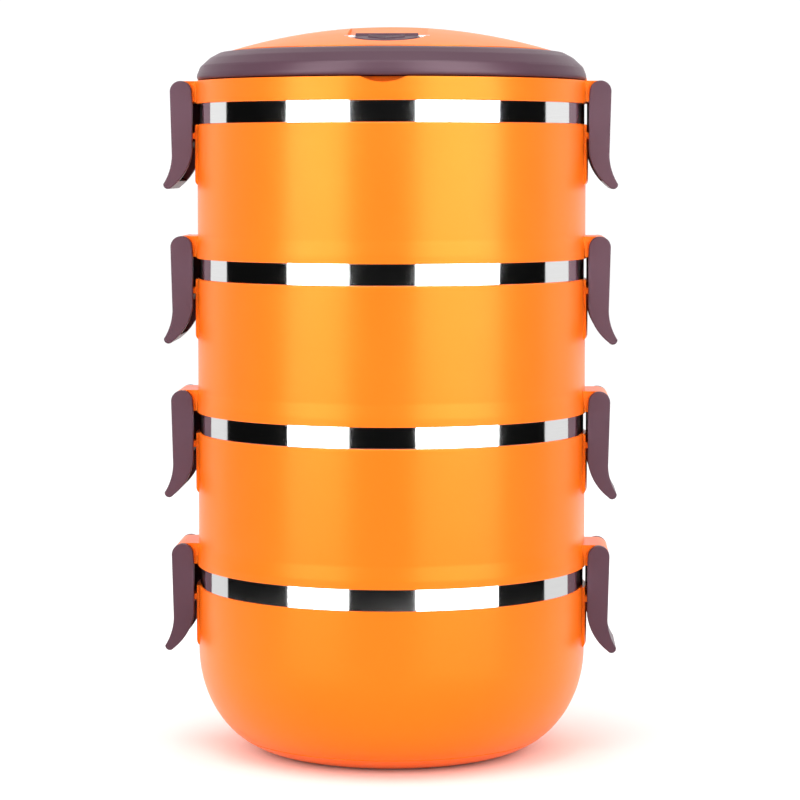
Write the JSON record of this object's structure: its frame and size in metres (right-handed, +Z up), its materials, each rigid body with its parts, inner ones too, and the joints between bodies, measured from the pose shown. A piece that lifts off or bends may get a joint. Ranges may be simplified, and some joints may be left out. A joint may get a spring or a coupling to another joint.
{
  "type": "tiffin carrier",
  "caption": "Round stacked lunch carrier: steel bowls in moulded cups, each sealed and latched to the one above, with a half-ring handle and a steam vent in the lid.",
  "frame": {"origin": "centre of the flat resting face under the base bowl", "axes": "+Z up through the stack; latches at +X and -X; handle rests round the front, towards -Y"},
  "size_m": [0.167, 0.1452, 0.2684],
  "materials": {
    "orange_shell": "satin moulded polypropylene, orange",
    "polished_steel": "mirror-polished stainless steel",
    "silicone": "matt translucent white silicone",
    "mauve_trim": "satin dark mauve-brown plastic",
    "liner": "satin moulded polypropylene, orange",
    "pin_steel": "drawn stainless wire"
  },
  "bodies": {
    "base": {"base_shell": "orange_shell", "base_steel_bowl": "polished_steel"},
    "tier_2": {"tier_2_shell": "orange_shell", "tier_2_steel_bowl": "polished_steel", "tier_2_seal": "silicone", "tier_2_latch_pin_left": "pin_steel", "tier_2_latch_pin_right": "pin_steel"},
    "tier_2_latch_right": {"tier_2_latch_right": "mauve_trim"},
    "tier_2_latch_left": {"tier_2_latch_left": "mauve_trim"},
    "tier_3": {"tier_3_shell": "orange_shell", "tier_3_steel_bowl": "polished_steel", "tier_3_seal": "silicone", "tier_3_latch_pin_left": "pin_steel", "tier_3_latch_pin_right": "pin_steel"},
    "tier_3_latch_right": {"tier_3_latch_right": "mauve_trim"},
    "tier_3_latch_left": {"tier_3_latch_left": "mauve_trim"},
    "tier_4": {"tier_4_shell": "orange_shell", "tier_4_steel_bowl": "polished_steel", "tier_4_seal": "silicone", "tier_4_latch_pin_left": "pin_steel", "tier_4_latch_pin_right": "pin_steel"},
    "tier_4_latch_right": {"tier_4_latch_right": "mauve_trim"},
    "tier_4_latch_left": {"tier_4_latch_left": "mauve_trim"},
    "lid": {"lid_cover": "orange_shell", "lid_liner": "liner", "lid_seal": "silicone", "lid_latch_pin_left": "pin_steel", "lid_latch_pin_right": "pin_steel", "handle_pin_left": "pin_steel", "handle_pin_right": "pin_steel", "vent_pin": "pin_steel"},
    "lid_latch_right": {"lid_latch_right": "mauve_trim"},
    "lid_latch_left": {"lid_latch_left": "mauve_trim"},
    "carry_handle": {"carry_handle": "mauve_trim"},
    "vent_flap": {"vent_flap": "mauve_trim", "vent_plug": "silicone"}
  },
  "joints": [
    {"name": "tier_2_lift", "type": "slide", "parent": "base", "child": "tier_2", "axis": [0, 0, 1], "range_m": [0, 0.06]},
    {"name": "tier_3_lift", "type": "slide", "parent": "tier_2", "child": "tier_3", "axis": [0, 0, 1], "range_m": [0, 0.06]},
    {"name": "tier_4_lift", "type": "slide", "parent": "tier_3", "child": "tier_4", "axis": [0, 0, 1], "range_m": [0, 0.06]},
    {"name": "lid_lift", "type": "slide", "parent": "tier_4", "child": "lid", "axis": [0, 0, 1], "range_m": [0, 0.06]},
    {"name": "tier_2_latch_right_hinge", "type": "hinge", "parent": "tier_2", "child": "tier_2_latch_right", "pos_m": [0.077, 0, 0.0734], "axis": [0, -1, 0], "range_deg": [0, 110]},
    {"name": "tier_2_latch_left_hinge", "type": "hinge", "parent": "tier_2", "child": "tier_2_latch_left", "pos_m": [-0.077, 0, 0.0734], "axis": [0, 1, 0], "range_deg": [0, 110]},
    {"name": "tier_3_latch_right_hinge", "type": "hinge", "parent": "tier_3", "child": "tier_3_latch_right", "pos_m": [0.077, 0, 0.1304], "axis": [0, -1, 0], "range_deg": [0, 110]},
    {"name": "tier_3_latch_left_hinge", "type": "hinge", "parent": "tier_3", "child": "tier_3_latch_left", "pos_m": [-0.077, 0, 0.1304], "axis": [0, 1, 0], "range_deg": [0, 110]},
    {"name": "tier_4_latch_right_hinge", "type": "hinge", "parent": "tier_4", "child": "tier_4_latch_right", "pos_m": [0.077, 0, 0.1874], "axis": [0, -1, 0], "range_deg": [0, 110]},
    {"name": "tier_4_latch_left_hinge", "type": "hinge", "parent": "tier_4", "child": "tier_4_latch_left", "pos_m": [-0.077, 0, 0.1874], "axis": [0, 1, 0], "range_deg": [0, 110]},
    {"name": "lid_latch_right_hinge", "type": "hinge", "parent": "lid", "child": "lid_latch_right", "pos_m": [0.077, 0, 0.2444], "axis": [0, -1, 0], "range_deg": [0, 110]},
    {"name": "lid_latch_left_hinge", "type": "hinge", "parent": "lid", "child": "lid_latch_left", "pos_m": [-0.077, 0, 0.2444], "axis": [0, 1, 0], "range_deg": [0, 110]},
    {"name": "handle_hinge", "type": "hinge", "parent": "lid", "child": "carry_handle", "pos_m": [0, 0, 0.254], "axis": [-1, 0, 0], "range_deg": [0, 90]},
    {"name": "vent_flap_hinge", "type": "hinge", "parent": "lid", "child": "vent_flap", "pos_m": [0, -0.04096, 0.26301], "axis": [-1, 0, 0], "range_deg": [0, 60]}
  ]
}
